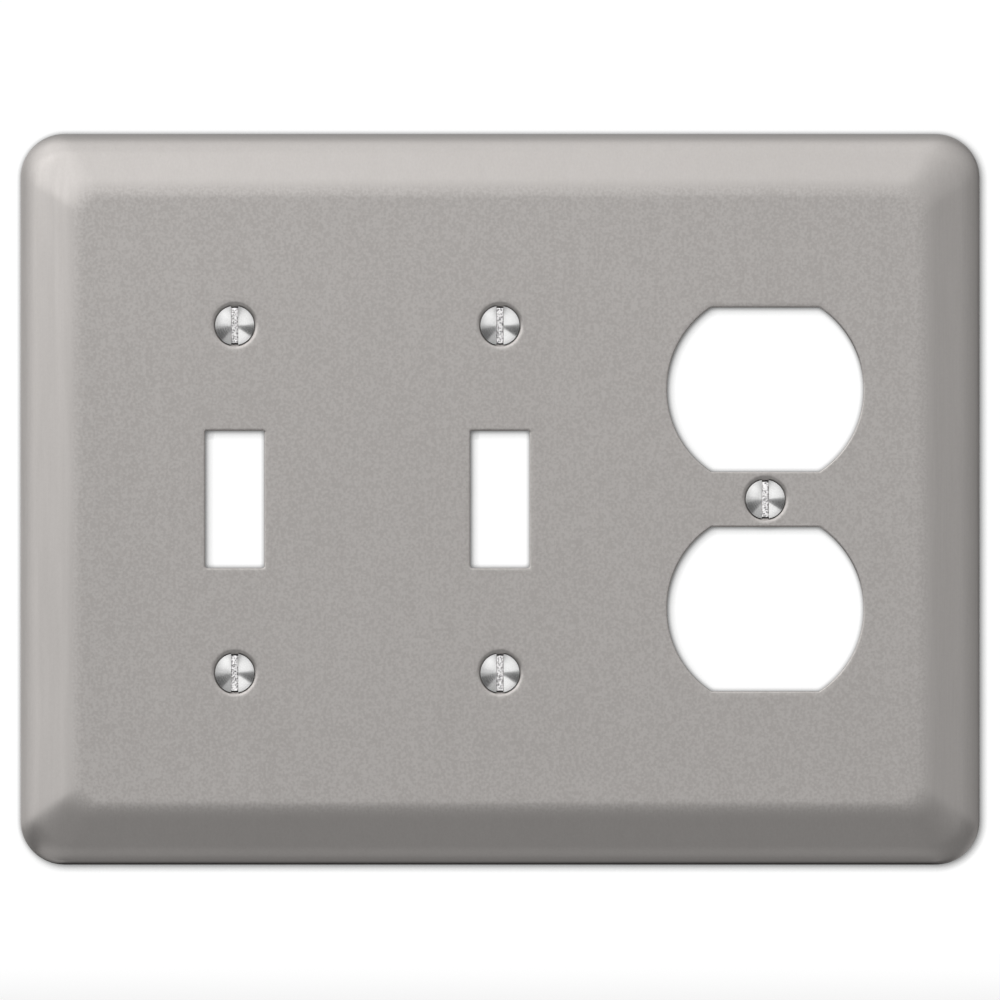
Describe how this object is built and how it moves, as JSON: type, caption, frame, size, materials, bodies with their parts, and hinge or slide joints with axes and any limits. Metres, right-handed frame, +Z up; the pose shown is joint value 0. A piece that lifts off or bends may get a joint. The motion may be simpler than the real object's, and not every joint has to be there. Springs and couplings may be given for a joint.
{
  "type": "wall plate cover",
  "caption": "Drawn brushed-nickel wall plate with toggle switch openings beside a duplex receptacle opening, held by slotted oval-head screws in formed dimples.",
  "frame": {"origin": "middle of the plate's outline in the plane of its back edge, which is the wall; it lies behind the middle gang's centre", "axes": "-Y out of the wall along the way the face looks, +Y into the wall along the screws, +X to the right as seen from the front, +Z up"},
  "size_m": [0.1668, 0.0137, 0.127],
  "materials": {
    "plate_nickel": "satin nickel plate, brushed from top to bottom",
    "screw_nickel": "bright nickel, turned, with a rough slot"
  },
  "bodies": {
    "plate": {"cover_plate": "plate_nickel"},
    "toggle_left_upper_screw": {"toggle_left_upper_screw": "screw_nickel"},
    "toggle_left_lower_screw": {"toggle_left_lower_screw": "screw_nickel"},
    "toggle_middle_upper_screw": {"toggle_middle_upper_screw": "screw_nickel"},
    "toggle_middle_lower_screw": {"toggle_middle_lower_screw": "screw_nickel"},
    "duplex_centre_screw": {"duplex_centre_screw": "screw_nickel"}
  },
  "joints": [
    {"name": "toggle_left_upper_screw_turn", "type": "hinge", "parent": "plate", "child": "toggle_left_upper_screw", "pos_m": [-0.04604, -0.00709, 0.03017], "axis": [0, 1, 0], "continuous": true},
    {"name": "toggle_left_lower_screw_turn", "type": "hinge", "parent": "plate", "child": "toggle_left_lower_screw", "pos_m": [-0.04604, -0.00709, -0.03017], "axis": [0, 1, 0], "continuous": true},
    {"name": "toggle_middle_upper_screw_turn", "type": "hinge", "parent": "plate", "child": "toggle_middle_upper_screw", "pos_m": [0, -0.00709, 0.03017], "axis": [0, 1, 0], "continuous": true},
    {"name": "toggle_middle_lower_screw_turn", "type": "hinge", "parent": "plate", "child": "toggle_middle_lower_screw", "pos_m": [0, -0.00709, -0.03017], "axis": [0, 1, 0], "continuous": true},
    {"name": "duplex_centre_screw_turn", "type": "hinge", "parent": "plate", "child": "duplex_centre_screw", "pos_m": [0.04604, -0.00709, 0], "axis": [0, 1, 0], "continuous": true}
  ]
}
